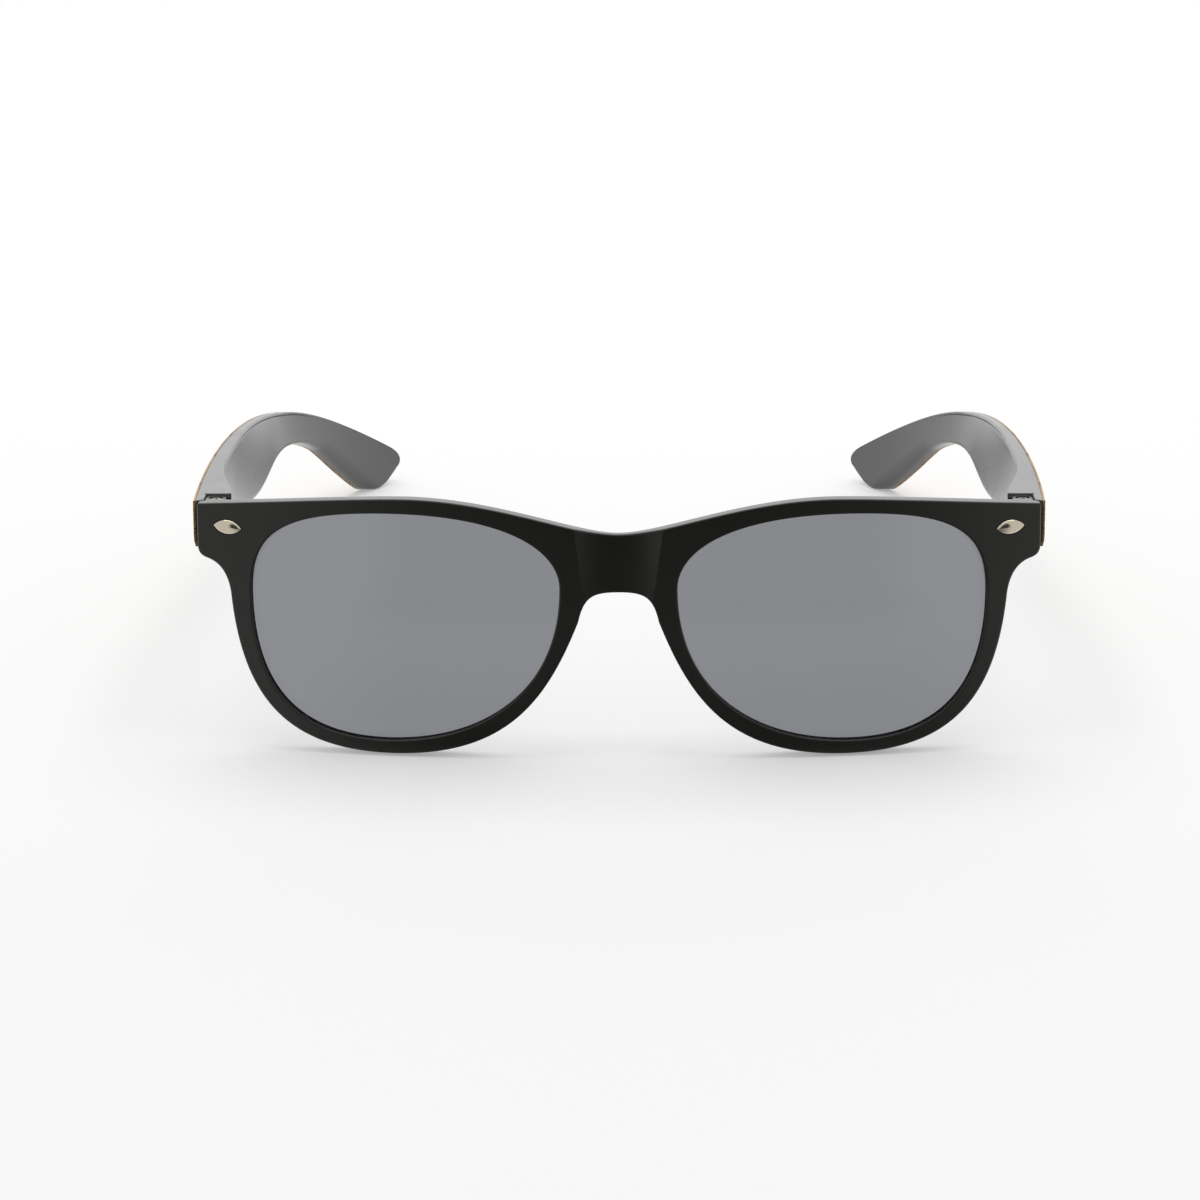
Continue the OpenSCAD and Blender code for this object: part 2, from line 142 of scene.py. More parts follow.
def turned(points, angle):
    """Points turned about the origin, anticlockwise."""
    c, s = math.cos(angle), math.sin(angle)
    return points @ np.array([[c, s], [-s, c]])


def on_side(side, loop):
    """A loop on the left (1), or mirrored to the right (-1) with its material still on the same hand."""
    return loop if side > 0 else (loop * [-1, 1])[::-1]


def front_outline():
    """Outer edge of the front, with the material on its left."""
    half = chain(
        [0, Z_BRIDGE],
        (36, [0.2 * CX, Z_BRIDGE], [0.57 * CX, Z_BROW], [CX, Z_BROW]),
        (24, [CX + 8, Z_BROW], [HALF_W - 13, Z_END + 0.7], [HALF_W - 0.5, Z_END]),
        (6, [HALF_W - 0.2, Z_END], [HALF_W, Z_END - 0.2], [HALF_W, Z_END - 0.5]),
        (6, [HALF_W, Z_END - 3], [HALF_W, Z_UNDER + 4], [HALF_W, Z_UNDER + 1.8]),
        (9, [HALF_W, Z_UNDER + 0.5], [HALF_W - 0.8, Z_UNDER], [HALF_W - 1.7, Z_UNDER - 0.3]),
        (16, [HALF_W - 4, Z_UNDER - 1.1], [X_SIDE + 0.4, Z_SIDE + 3], [X_SIDE, Z_SIDE]),
        (40, [X_SIDE - 0.06 * A, Z_SIDE - 0.95 * B], [CX + 0.78 * A, 0], [CX + 0.07 * A, 0]),
        (40, [CX - 0.66 * A, 0], [X_NOSE + 5.4, CZ - 0.62 * B], [X_NOSE, Z_NOSE]),
        (20, [X_NOSE - 1, Z_ARCH - 0.6], [0.65 * X_NOSE, Z_ARCH], [0, Z_ARCH]))
    other = half[-2:0:-1] * [-1, 1]
    return np.vstack([half, other])[::-1]


def lens_loop(grow=0.0):
    """The lens opening, with the rim's material on its left."""
    a, b = A + grow, B + grow
    return chain(
        [0.1 * a, b],
        (32, [0.75 * a, b], [a, 0.84 * b], [a, 0.27 * b]),
        (32, [a, -0.62 * b], [0.69 * a, -b], [0.11 * a, -b]),
        (32, [-0.55 * a, -b], [-a, -0.49 * b], [-a, 0.36 * b]),
        (32, [-a, 0.7 * b], [-0.66 * a, b], [0.1 * a, b]))[:-1]


def opening_on_face():
    """The left lens opening where it meets the wrapped face."""
    p = lens_loop()
    back = np.zeros(len(p))
    for _ in range(4):  # enough rounds to settle how far back each point lies
        x = CX + p[:, 0] * math.cos(LENS_TURN) - back * math.sin(LENS_TURN)
        back = (sag(x) - float(sag(CX)) - p[:, 0] * math.sin(LENS_TURN)) / math.cos(LENS_TURN)
    return np.stack([x, CZ + p[:, 1]], 1)


FACE_OPENING = opening_on_face()


def rivet_outline(side, grow=0.0):
    """The rivet's almond on the face, its outer end raised."""
    length, width = RIVET_L + 2 * grow, RIVET_W + 2 * grow
    r = (length ** 2 + width ** 2) / (4 * width)
    half = math.asin(length / 2 / r)
    t = np.linspace(-half, half, 21)[:-1]
    top = np.stack([r * np.sin(-t), r * np.cos(t) - r + width / 2], 1)
    almond = turned(np.vstack([top, -top]), RIVET_TILT) + [HALF_W - RIVET_IN, Z_END - END_H / 2 + RIVET_UP]
    return on_side(side, almond[::-1])


# ---- Moulded plates with rounded edges ----
def left_of(loop):
    """The direction into the material at each point of a loop."""
    run = np.roll(loop, -1, 0) - np.roll(loop, 1, 0)
    run /= np.linalg.norm(run, axis=1)[:, None]
    return np.stack([-run[:, 1], run[:, 0]], 1)


def edge_radii(loop, r):
    """The rounding at each point of a loop, less where a corner is tighter than r."""
    before, after = loop - np.roll(loop, 1, 0), np.roll(loop, -1, 0) - loop
    la, lb = np.linalg.norm(before, axis=1), np.linalg.norm(after, axis=1)
    turn = np.arctan2(before[:, 0] * after[:, 1] - before[:, 1] * after[:, 0], (before * after).sum(1))
    radii = np.where(turn > 1e-3, np.minimum(r, 0.35 * (la + lb) / np.maximum(turn, 1e-3)), r)
    for _ in range(60):  # beside a tight corner the rounding comes back by 0.4 mm for each mm
        radii = np.minimum(radii, np.minimum(np.roll(radii, 1) + 0.4 * la, np.roll(radii, -1) + 0.4 * lb))
    return radii


def nearest(points, loop):
    """Distance from each point to a closed loop."""
    best = np.full(len(points), 1e9)
    for a, b in zip(loop, np.roll(loop, -1, 0)):
        ab = b - a
        t = np.clip(((points - a) @ ab) / max(ab @ ab, 1e-12), 0, 1)
        best = np.minimum(best, np.linalg.norm(points - a - t[:, None] * ab, axis=1))
    return best


def eased(t):
    """A share from 0 to 1 that starts and ends gently."""
    return t * t * (3 - 2 * t)


def level(w):
    """A flat face."""
    return lambda p: np.full(len(p), w)


ALL_OVER = ((-999, -999), (999, 999))


def lines(lo, hi, step, axis=0, box=ALL_OVER):
    """Evenly spaced cutting lines across u (axis 0) or v (axis 1), for the faces that reach into a box."""
    normal = (1 - axis, axis)
    return [((t * normal[0], t * normal[1]), normal, box) for t in np.arange(lo, hi, step)]


class Moulding:
    """A plate between two face functions of (u, v). Its edges are rounded, and its faces are cut along lines so
    that they follow their curves. Loops have the material on their left."""

    def __init__(self, front, back, r_front, r_back, steps=4, rows=2):
        self.front, self.back = front, back
        self.r_front, self.r_back, self.steps, self.rows = r_front, r_back, steps, rows
        self.bm = bmesh.new()
        self.depth = self.bm.verts.layers.float.new("depth")
        self.matt = self.bm.faces.layers.int.new("matt")
        self.rims = {1: [], 2: []}

    def loop(self, points, lean=0.0, soft=None, line=None, matt=False):
        """Rounds the plate off along a loop. lean is how far the wall drifts along u for each mm of depth, soft
        the front edge's rounding at each point, where it isn't the same all round, and line the depth there of a
        fine line pressed beside that edge. A matt wall takes the second material."""
        p = np.asarray(points, float)
        n, f, b = left_of(p), self.front(p), self.back(p)
        thick = np.maximum(b - f, 0.02)
        rb = np.minimum(edge_radii(p, self.r_back), MOST_ROUND * thick)
        if soft is None:
            rf = np.minimum(edge_radii(p, self.r_front), MOST_ROUND * thick)
        else:
            rf = np.minimum(edge_radii(p, soft), 0.9 * thick - rb)
        bends = np.linspace(0, math.pi / 2, self.steps + 1)
        if line is None:
            rows = [(p + n * (rf + STRIP)[:, None], "front", 0 * rf)]
        else:
            rows = [(p + n * (rf + far * LINE_W)[:, None], "front", deep * line) for far, deep in LINE_ROWS]
        rows += [(p + n * (rf * (1 - math.sin(t)))[:, None], "front", rf * (1 - math.cos(t))) for t in bends]
        wall = range(len(rows) - 1, len(rows) - 1 + self.rows) if matt else ()
        rows += [(p, "wall", k / self.rows) for k in range(1, self.rows)]
        rows += [(p + n * (rb * (1 - math.sin(t)))[:, None], "back", rb * (1 - math.cos(t))) for t in bends[::-1]]
        rows += [(p + n * (rb + STRIP)[:, None], "back", 0 * rb)]
        made = []
        for i, (q, kind, d) in enumerate(rows):
            if kind == "front":
                w = self.front(q) + d
            elif kind == "back":
                w = self.back(q) - d
            else:
                w = (f + rf) * (1 - d) + (b - rb) * d
            q = q + np.outer(w - f, [lean, 0])
            if i == len(rows) - 1:
                w = self.back(q)
            made.append(self.row(q, w))
        self.skin(made, wall)
        self.rims[1].append(made[0])
        self.rims[2].append(made[-1])

    def pocket(self, points, depth, r=0.06):
        """A flat-bottomed seat in the front face."""
        p = np.asarray(points, float)
        n = left_of(p)
        rows = [(r + 0.08, 0), (r, 0), (0.3 * r, 0.3 * r), (0, r), (0, depth - 0.02), (-0.02, depth), (-0.1, depth)]
        made = [self.row(p + n * out, self.front(p + n * out) + down) for out, down in rows]
        self.skin(made)
        self.rims[1].append(made[0])
        self.bm.faces.new(made[-1])

    def row(self, q, w):
        """A row of points on the plate, each with its depth."""
        out = []
        for (u, v), d in zip(q, w):
            vert = self.bm.verts.new((u, v, 0.5))
            vert[self.depth] = d
            out.append(vert)
        return out

    def skin(self, rows, matt=()):
        """Faces between closed rows of points."""
        for k, (a, b) in enumerate(zip(rows, rows[1:])):
            for i in range(len(a)):
                j = (i + 1) % len(a)
                self.bm.faces.new((a[i], a[j], b[j], b[i]))[self.matt] = int(k in matt)

    def cap(self, which, cuts=()):
        """Fills the front (1) or back (2) face and divides it along (point, normal, box) lines. Until finish, the
        faces of a cap have its number as their material, and its points lie at z 0 or 1."""
        rims = self.rims[which]
        verts = [v for rim in rims for v in rim]
        flat = [[Vector((v.co.x, v.co.y, 0)) for v in rim] for rim in rims]
        for tri in tessellate_polygon(flat):
            face = self.bm.faces.new([verts[i] for i in tri])
            face.material_index = which
        for v in verts:
            v.co.z = 0.0 if which == 1 else 1.0
        groups = {}
        for point, normal, box in cuts:
            groups.setdefault(box, []).append((point, normal))
        for (low, high), planes in groups.items():
            geom = set()
            for f in self.bm.faces:
                if f.material_index == which:
                    us, vs = [x.co.x for x in f.verts], [x.co.y for x in f.verts]
                    if max(us) > low[0] and min(us) < high[0] and max(vs) > low[1] and min(vs) < high[1]:
                        geom.add(f)
                        geom.update(f.edges)
                        geom.update(f.verts)
            geom = list(geom)
            for (u, v), (nu, nv) in planes:
                geom = bmesh.ops.bisect_plane(self.bm, geom=geom, dist=1e-4, plane_co=(u, v, 0),
                                              plane_no=(nu, nv, 0))["geom"]

    def close(self, cuts=()):
        """Fills both faces alike."""
        self.cap(1, cuts)
        self.cap(2, cuts)

    def finish(self, to_frame, crease=math.radians(5)):
        """The mesh in its place. Creases in the faces stay sharp, and each point also keeps where it lay on the
        flat plate."""
        bm = self.bm
        at = np.array([v.co[:2] for v in bm.verts])
        front, back = self.front(at), self.back(at)
        w = [front[i] if v.co.z == 0 else back[i] if v.co.z == 1 else v[self.depth]
             for i, v in enumerate(bm.verts)]
        place = to_frame(at[:, 0], at[:, 1], np.array(w))
        flat = bm.verts.layers.float_vector.new("flat")
        for v, p, (a, b), c in zip(bm.verts, place, at, w):
            v.co = p
            v[flat] = (a * 0.001, b * 0.001, c * 0.001)
        bmesh.ops.remove_doubles(bm, verts=bm.verts, dist=1e-7)
        bmesh.ops.dissolve_degenerate(bm, edges=bm.edges, dist=1e-7)
        bmesh.ops.recalc_face_normals(bm, faces=bm.faces)
        for e in bm.edges:
            if len(e.link_faces) == 2 and all(f.material_index for f in e.link_faces):
                e.smooth = e.calc_face_angle(0) < crease
        for f in bm.faces:
            f.smooth = True
            f.material_index = f[self.matt]
        bm.faces.layers.int.remove(self.matt)
        bm.verts.layers.float.remove(self.depth)
        mesh = bpy.data.meshes.new("part")
        bm.to_mesh(mesh)
        bm.free()
        return mesh


# ---- The front: u runs across, v is up, w is back ----
def saddle_depth(z):
    """Depth of the bridge's saddle in its middle at a height z."""
    return SADDLE_DEPTH + (z - Z_BRIDGE + BRIDGE_H / 2) * math.tan(SADDLE_LEAN)


def against_wrap(radius):
    """How much more a hollow of this radius bends than the wrapped face."""
    return 1 / radius + 1 / WRAP_R


def saddle_edge(z):
    """Where the saddle meets the wrapped face at a height z."""
    return math.sqrt(2 * saddle_depth(z) / against_wrap(SADDLE_R))


def front_face(p):
    """The wrapped face, with a hollow scooped out of the bridge that meets it in two creases."""
    # the scoop belongs to the bridge alone, 12 mm to each side of the middle
    x, z = p[:, 0], p[:, 1]
    depth = saddle_depth(z) * against_wrap(SCOOP_R) / against_wrap(SADDLE_R)
    saddle = depth - SCOOP_R + np.sqrt(np.maximum(SCOOP_R ** 2 - x * x, 0))
    return np.maximum(sag(x), np.where(np.abs(x) < 12, saddle, -99))


def back_face(p):
    """The wrapped back with the nose pads' swell, the flats that carry the hinges and their mitred corners."""
    x, z = np.abs(p[:, 0]), p[:, 1]
    y = sag(x) + FRONT_T
    near = (x < 23) & (z < Z_ARCH + 2)  # the part that holds the pads
    if near.any():
        q = np.stack([x[near], z[near]], 1)
        crown = float(sag(CX - A)) + FRONT_T + PAD_REACH - PAD_R \
            + np.sqrt(np.maximum(PAD_R ** 2 - (q[:, 1] - PAD_Z) ** 2, 0)) - y[near]
        rise = PAD_SOFT * np.log1p(np.exp(np.clip(crown / PAD_SOFT, -30, 30)))
        rise *= np.clip((Z_ARCH - 0.2 - q[:, 1]) / 1.6, 0, 1) ** 0.5
        # the swell keeps 0.35 mm from the lens opening and is full 1.5 mm further in
        y[near] += rise * eased(np.clip((nearest(q, FACE_OPENING) - 0.35) / 1.5, 0, 1))
    y[x > X_FLAT] = Y_BACK
    return np.minimum(y, np.where(x > X_MITRE, Y_BACK - (x - X_MITRE), 99))


def moulded_front():
    """Rims, bridge, pads and end-pieces in one, with a seat for each rivet."""
    m = Moulding(front_face, back_face, r_front=0.3, r_back=0.75, rows=3)
    m.loop(front_outline())
    for side in (1, -1):
        m.loop(on_side(side, FACE_OPENING), lean=-side * math.tan(LENS_TURN), matt=True)
    for side in (1, -1):
        m.pocket(rivet_outline(side, 0.1), RIVET_SEAT)
    wrap = lines(-71, 71.5, 2.5)
    top, low = saddle_edge(Z_BRIDGE), saddle_edge(Z_ARCH)
    creases = []
    for side in (1, -1):
        run = np.array([side * (top - low), Z_BRIDGE - Z_ARCH])
        run /= np.linalg.norm(run)
        box = ((min(side * 3, side * 12), -9), (max(side * 3, side * 12), 99))
        creases.append(((side * low, Z_ARCH), (run[1], -run[0]), box))
    m.cap(1, wrap + creases + lines(-6, 7, 1, box=((-9, Z_ARCH - 2), (9, 99))))
    pads = []
    for box in (((-22, 2), (-5, 30)), ((5, 2), (22, 30))):
        pads += lines(box[0][0], box[1][0], 0.6, box=box) + lines(6, 29, 0.7, axis=1, box=box)
    steps = [((side * x, 0), (1, 0), ALL_OVER) for side in (1, -1) for x in (X_FLAT - STEP, X_FLAT + STEP, X_MITRE)]
    m.cap(2, wrap + pads + steps)
    return m.finish(lambda u, v, w: stand(u, w, v))


# ---- The hinges: u runs across, v is back ----
def knuckle_outline(side, root):
    """A hinge knuckle seen from above: round, with a straight root towards root (y)."""
    back = 1 if root > Y_HINGE else -1
    t = np.linspace(0, math.pi, 28)
    arc = np.stack([X_HINGE + KNUCKLE_R * np.cos(t), Y_HINGE - back * KNUCKLE_R * np.sin(t)], 1)
    p = np.vstack([arc, [[X_HINGE - KNUCKLE_R, root], [X_HINGE + KNUCKLE_R, root]]])
    return on_side(side, p if back < 0 else p[::-1])


def ring(side, r, n=32):
    """A circle round the hinge's axis, with the material outside it."""
    t = np.linspace(0, 2 * math.pi, n, endpoint=False)
    return on_side(side, np.stack([X_HINGE + r * np.cos(t), Y_HINGE - r * np.sin(t)], 1))


def lug(side, low, high, root, bore):
    """A lug of the front or the knuckle of a temple, from one height to another."""
    m = Moulding(level(low), level(high), r_front=0.2, r_back=0.2, rows=1)
    m.loop(knuckle_outline(side, root))
    m.loop(ring(side, bore))
    m.close()
    return m.finish(stand)


def hinge_screw(side):
    """A cheese-head screw: the domed head with its cross recess, and the shank down through the knuckle."""
    middle = np.array([side * X_HINGE, Y_HINGE])

    def place(u, v, w):
        return stand(u, v, -w)

    def dome(p):
        return HEAD_DOME * ((p - middle) ** 2).sum(1) - Z_HEAD

    head = Moulding(dome, level(HEAD_H - Z_HEAD), r_front=0.16, r_back=0.05, rows=1)
    head.loop(ring(side, HEAD_D / 2, 48)[::-1])
    arm = np.stack([np.full(4, CROSS_HALF), np.linspace(CROSS_HALF, CROSS_REACH, 4)], 1)
    quarter = np.vstack([arm, (arm * [-1, 1])[::-1]])[:-1]
    cross = np.vstack([turned(quarter, math.radians(20 + 90 * k)) for k in range(4)])
    head.pocket((cross + middle)[::-1], CROSS_D, r=0.03)
    head.close()
    shank = Moulding(level(HEAD_H - Z_HEAD - 0.1), level(-Z_LUG_LOW - 0.3), r_front=0.05, r_back=0.2)
    shank.loop(ring(side, SCREW_D / 2, 40)[::-1])
    shank.close()
    return [head.finish(place), shank.finish(place)]


# ---- The temples: u runs along the arm, v is up, w is out from the middle of the head ----
# The tip's directions along its end and its lower edge, its corners, and where the curves round them begin
TIP_DIR, LOW_DIR = np.array([-0.66, -0.75]), np.array([-0.83, 0.56])
TIP_A = np.array([TEMPLE_L - 2.9, -TIP_DROP + 1.95])
TIP_B = np.array([TEMPLE_L, -TIP_DROP])
TIP_C = TIP_B + TIP_H * TIP_DIR
TIP_LOW = TIP_C + 2.2 * LOW_DIR
TIP_TURN = TIP_C - 0.3 * TIP_H * TIP_DIR + [0.5, -0.38]
HOOK_L, Z_BEND, Z_BELLY = TEMPLE_L - ARM_L, -1.8 - BEND_H, 0.45 - ARM_H


def behind(p):
    """How far a point of the side view lies behind the end-piece's flat back."""
    return p[:, 0] * math.cos(PANTO) + p[:, 1] * math.sin(PANTO)


def mitred(far):
    """How far behind the end-piece's flat back a temple's mitre lies, this far from the middle, or the reverse."""
    return X_MITRE + MITRE_GAP - far


def hook_low(far, down):
    """A point of the lower edge behind the ear bend, by its shares of the way to the tip and of the drop."""
    return [ARM_L + far * HOOK_L, (1 - down) * Z_BEND + down * TIP_C[1]]


def temple_outline(start):
    """Side view of a temple whose end stands start mm behind the end-piece's flat back."""
    p = chain(
        [-4, -0.3],
        (60, [0.29 * ARM_L, -0.2], [0.69 * ARM_L, 2.7], [ARM_L, -1.4]),
        (30, [ARM_L + 13, -2.5], [TEMPLE_L - 12, -TIP_DROP + 7.9], TIP_A),
        (24, TIP_B + [0.9, -0.8], TIP_B + [-1.3, -2.55], TIP_TURN),
        (12, TIP_C - 0.07 * TIP_H * TIP_DIR, TIP_C + 0.5 * LOW_DIR, TIP_LOW),
        (20, TIP_C + [-5.1, 3.5], hook_low(0.53, 0.365), hook_low(0.43, 0.217)),
        (16, hook_low(0.33, 0.09), hook_low(0.19, 0), hook_low(0.05, 0)),
        (28, [0.92 * ARM_L, Z_BEND], [0.82 * ARM_L, Z_BELLY], [0.69 * ARM_L, Z_BELLY]),
        (40, [0.45 * ARM_L, Z_BELLY], [0.2 * ARM_L, -2.2 - END_H], [0.3, 1 - END_H]))
    p = np.vstack([p, [[-3, 1.3 - END_H]]])
    kept = p[behind(p) > start + 0.05]
    # the end: straight, between the top and the bottom edge
    ends = [np.array([(start - v * math.sin(PANTO)) / math.cos(PANTO), v]) for v in (kept[-1][1], kept[0][1])]
    rise = np.linspace(0, 1, 9)[:, None]
    return np.vstack([kept, ends[0] * (1 - rise) + ends[1] * rise])[::-1]


def plan_out():
    """The outer face seen from above: how far it is from the middle at each length."""
    return chain(
        [-5, X_OUT - 0.1],
        (240, [0.25 * ARM_L, X_OUT + 1.8], [0.61 * ARM_L, X_OUT + 1.6], [0.9 * ARM_L, X_OUT - 2.2]),
        (160, [ARM_L + 6, X_OUT - 4], [TEMPLE_L - 15, X_OUT - 0.45 * TIP_IN],
         [TEMPLE_L + 2, X_OUT - TIP_IN - 3.4]))


def plan_in():
    """The inner face seen from above, which comes closer to the outer one over the first third."""
    near, far = X_OUT - TEMPLE_T0, X_OUT - TEMPLE_T
    return np.vstack([[[-5, near]], chain(
        [5, near],
        (100, [0.12 * ARM_L, near + 0.1], [0.22 * ARM_L, far + 0.9], [0.32 * ARM_L, far + 1.2]),
        (140, [0.49 * ARM_L, far + 1.5], [0.73 * ARM_L, far - 0.2], [0.9 * ARM_L, far - 2.2]),
        (160, [ARM_L + 4, far - 3.85], [TEMPLE_L - 17, far - 0.4 * TIP_IN], [TEMPLE_L + 2, far - TIP_IN - 4.4]))])


def beside(plan, d):
    """A plan line moved d mm in towards the middle."""
    run = np.gradient(plan, axis=0)
    run /= np.linalg.norm(run, axis=1)[:, None]
    return plan + d * np.stack([run[:, 1], -run[:, 0]], 1)


def along(plan):
    """The upright face that a plan line gives."""
    return lambda p: np.interp(p[:, 0], plan[:, 0], plan[:, 1])


def drawn_in(face):
    """A side face that comes in to the end-piece's side at the lower front corner, so that its edge runs out."""
    def in_at_corner(p):
        t = np.clip((4 - p[:, 0]) / 4, 0, 1) * np.clip((2.6 - END_H - p[:, 1]) / 3.2, 0, 1)
        return face(p) - 0.62 * eased(t)
    return in_at_corner


OUTER = drawn_in(along(plan_out() - [0, 0.01]))
CORE = drawn_in(along(beside(plan_out(), VENEER_SEEN)))
INNER = along(plan_in())


def inner_face(p):
    """The inner face, thinner above before the ear bend, with the notch for the hinge and the mitre at the end."""
    t = np.clip((p[:, 0] - 0.3 * ARM_L) / (0.55 * ARM_L), 0, 1) * np.clip((ARM_L + 20 - p[:, 0]) / 24, 0, 1)
    y = behind(p)
    thinned = INNER(p) + THINNER_UP * eased(t) * (p[:, 1] + 9) / 8.5
    return np.where(y < NOTCH, np.maximum(CHEEK, mitred(y)), thinned)


def split_at(loop, y):
    """Adds a point wherever the loop crosses a depth y behind the end-piece."""
    side = behind(loop) - y
    out = []
    for i, p in enumerate(loop):
        out.append(p)
        j = (i + 1) % len(loop)
        if side[i] * side[j] < 0:
            out.append(p + (loop[j] - p) * side[i] / (side[i] - side[j]))
    return np.array(out)


def temple_frame(side, end=None):
    """Places a temple's plates. A plate that is given its end has it drawn out to the mitre."""
    def place(u, v, w):
        p = np.stack([u, v], 1)
        if end is not None:
            u = u - np.clip(w - CORE(p), 0, 1) * np.clip(1 - (behind(p) - end) / 1.5, 0, 1)
        y = Y_ARM + u * math.cos(PANTO) + v * math.sin(PANTO)
        z = Z_ARM - u * math.sin(PANTO) + v * math.cos(PANTO)
        return stand(side * w, y, z)
    return place


def temple_core(side):
    """The black part of a temple, with its hinge notch and the line pressed along its inner face."""
    m = Moulding(inner_face, CORE, r_front=0.7, r_back=0.12, steps=5)
    outline = temple_outline(mitred(END_OUT - VENEER_SEEN - 0.05))
    steps = (NOTCH - STEP, NOTCH + STEP, mitred(CHEEK))
    for y in steps:
        outline = split_at(outline, y)
    u, v = outline[:, 0], outline[:, 1]
    # the upper edge is what lies above this height, which falls with the hook behind the ear bend
    past = np.maximum(u - ARM_L, 0)
    upper = v > -4.7 - 0.1 * past - 0.0075 * past ** 2
    # the pressed line starts behind the notch and runs out on the hook, where the lower edge gets rounder
    line = LINE_D * upper * np.clip(u - NOTCH - 0.4, 0, 1) * np.clip((ARM_L + 18 - u) / 16, 0, 1)
    under = 1 + 0.9 * np.clip((u - ARM_L - 6) / 10, 0, 1)
    m.loop(outline, soft=np.where(upper, 0.4, np.where(u > TEMPLE_L - 6, 0.7, under)), line=line)
    cuts = lines(2, TEMPLE_L, 1)
    m.cap(1, cuts + [((y / math.cos(PANTO), 0), (math.cos(PANTO), math.sin(PANTO)), ALL_OVER) for y in steps])
    m.cap(2, cuts)
    return m.finish(temple_frame(side), crease=math.radians(20))


def veneer_strip(side):
    """The strip on a temple's outer face, which follows its outline."""
    m = Moulding(lambda p: CORE(p) + 0.01, OUTER, r_front=0.02, r_back=0.16, steps=3)
    end = mitred(END_OUT - VENEER_SEEN)
    m.loop(temple_outline(end))
    m.close(lines(2, TEMPLE_L, 2))
    return m.finish(temple_frame(side, end), crease=math.radians(20))


# ---- The lenses: u and v run across and up from the middle of the opening ----
def ball(radius):
    """A face of the ball-shaped shell that a lens is cut from."""
    return lambda p: LENS_FRONT + LENS_R - np.sqrt(radius ** 2 - (p * p).sum(1))


def smoke_lens(side):
    """A lens, larger than its opening by the groove that it sits in."""
    def place(u, v, w):
        x = CX + u * math.cos(LENS_TURN) - w * math.sin(LENS_TURN)
        y = float(sag(CX)) + u * math.sin(LENS_TURN) + w * math.cos(LENS_TURN)
        return stand(side * x, y, CZ + v)

    m = Moulding(ball(LENS_R), ball(LENS_R - LENS_T), r_front=0.1, r_back=0.1, steps=2, rows=1)
    m.loop(lens_loop(GROOVE_D)[::-1])
    m.close(lines(-26, 27, 2) + lines(-20, 21, 2, axis=1))
    return m.finish(place, crease=math.radians(40))


# ---- The rivets ----
def domed_rivet(side):
    """A cushion-shaped almond that stands in its seat."""
    outline = rivet_outline(side)
    centre = outline.mean(0)
    face = float(sag(HALF_W - RIVET_IN))
    slope = math.asin((HALF_W - RIVET_IN) / WRAP_R) * side
    bm = bmesh.new()
    rows = []
    for k, share in enumerate((1.0, 1.0, 0.985, 0.95, 0.9, 0.82, 0.72, 0.6, 0.46, 0.3, 0.14)):
        rise = 0.1 + (RIVET_RISE - 0.1) * max(0.0, 1 - share ** 2) ** 0.62 if k else 0.02 - RIVET_SEAT
        q = centre + (outline - centre) * share
        y = face + (q[:, 0] - centre[0]) * math.tan(slope) - rise
        rows.append([bm.verts.new(p) for p in stand(q[:, 0], y, q[:, 1])])
    for a, b in zip(rows, rows[1:]):
        for i in range(len(a)):
            j = (i + 1) % len(a)
            bm.faces.new((a[i], a[j], b[j], b[i]))
    bm.faces.new(rows[-1])
    bm.faces.new(rows[0])
    bmesh.ops.recalc_face_normals(bm, faces=bm.faces)
    for f in bm.faces:
        f.smooth = True
    for e in bm.edges:
        e.smooth = e.calc_face_angle(0) < math.radians(50)
    mesh = bpy.data.meshes.new("rivet")
    bm.to_mesh(mesh)
    bm.free()
    return mesh


# ---- Materials ----
WHITE = (1, 1, 1, 1)


def linear(code):
    """sRGB hex to linear colour."""
    c = [int(code[i:i + 2], 16) / 255 for i in (1, 3, 5)]
    return [v / 12.92 if v <= 0.04045 else ((v + 0.055) / 1.055) ** 2.4 for v in c] + [1.0]


def add(tree, kind, settings=None):
    """Adds a node. A key with a dot is a property, any other a socket that takes a value or a node's output."""
    node = tree.nodes.new("ShaderNode" + kind)
    for key, value in (settings or {}).items():
        if str(key).startswith("."):
            setattr(node, key[1:], value)
        elif isinstance(value, bpy.types.NodeSocket):
            tree.links.new(value, node.inputs[key])
        else:
            node.inputs[key].default_value = value
    return node


def noise(tree, at, mm, detail, rough=0.5):
    """Noise whose spots are about this many mm across."""
    settings = {"Vector": at, "Scale": 1000 / mm, "Detail": detail, "Roughness": rough}
    return add(tree, "TexNoise", settings).outputs["Fac"]


def ranged(tree, value, low, high, to_low=0.0, to_high=1.0, kind="LINEAR"):
    """A value brought from one range into another, and kept inside it."""
    return add(tree, "MapRange", {".interpolation_type": kind, "Value": value, "From Min": low, "From Max": high,
                                  "To Min": to_low, "To Max": to_high}).outputs["Result"]


def maths(tree, operation, *values):
    """The result of a sum on numbers or other nodes' outputs."""
    return add(tree, "Math", {".operation": operation, **dict(enumerate(values))}).outputs[0]


def new_material(name):
    """A material and its node tree, still empty."""
    mat = bpy.data.materials.new(name)
    mat.use_nodes = True
    mat.node_tree.nodes.clear()
    return mat, mat.node_tree


def dressed(tree, settings):
    """The surface of a material that needs one shader."""
    base = add(tree, "BsdfPrincipled", settings)
    add(tree, "OutputMaterial", {"Surface": base.outputs["BSDF"]})


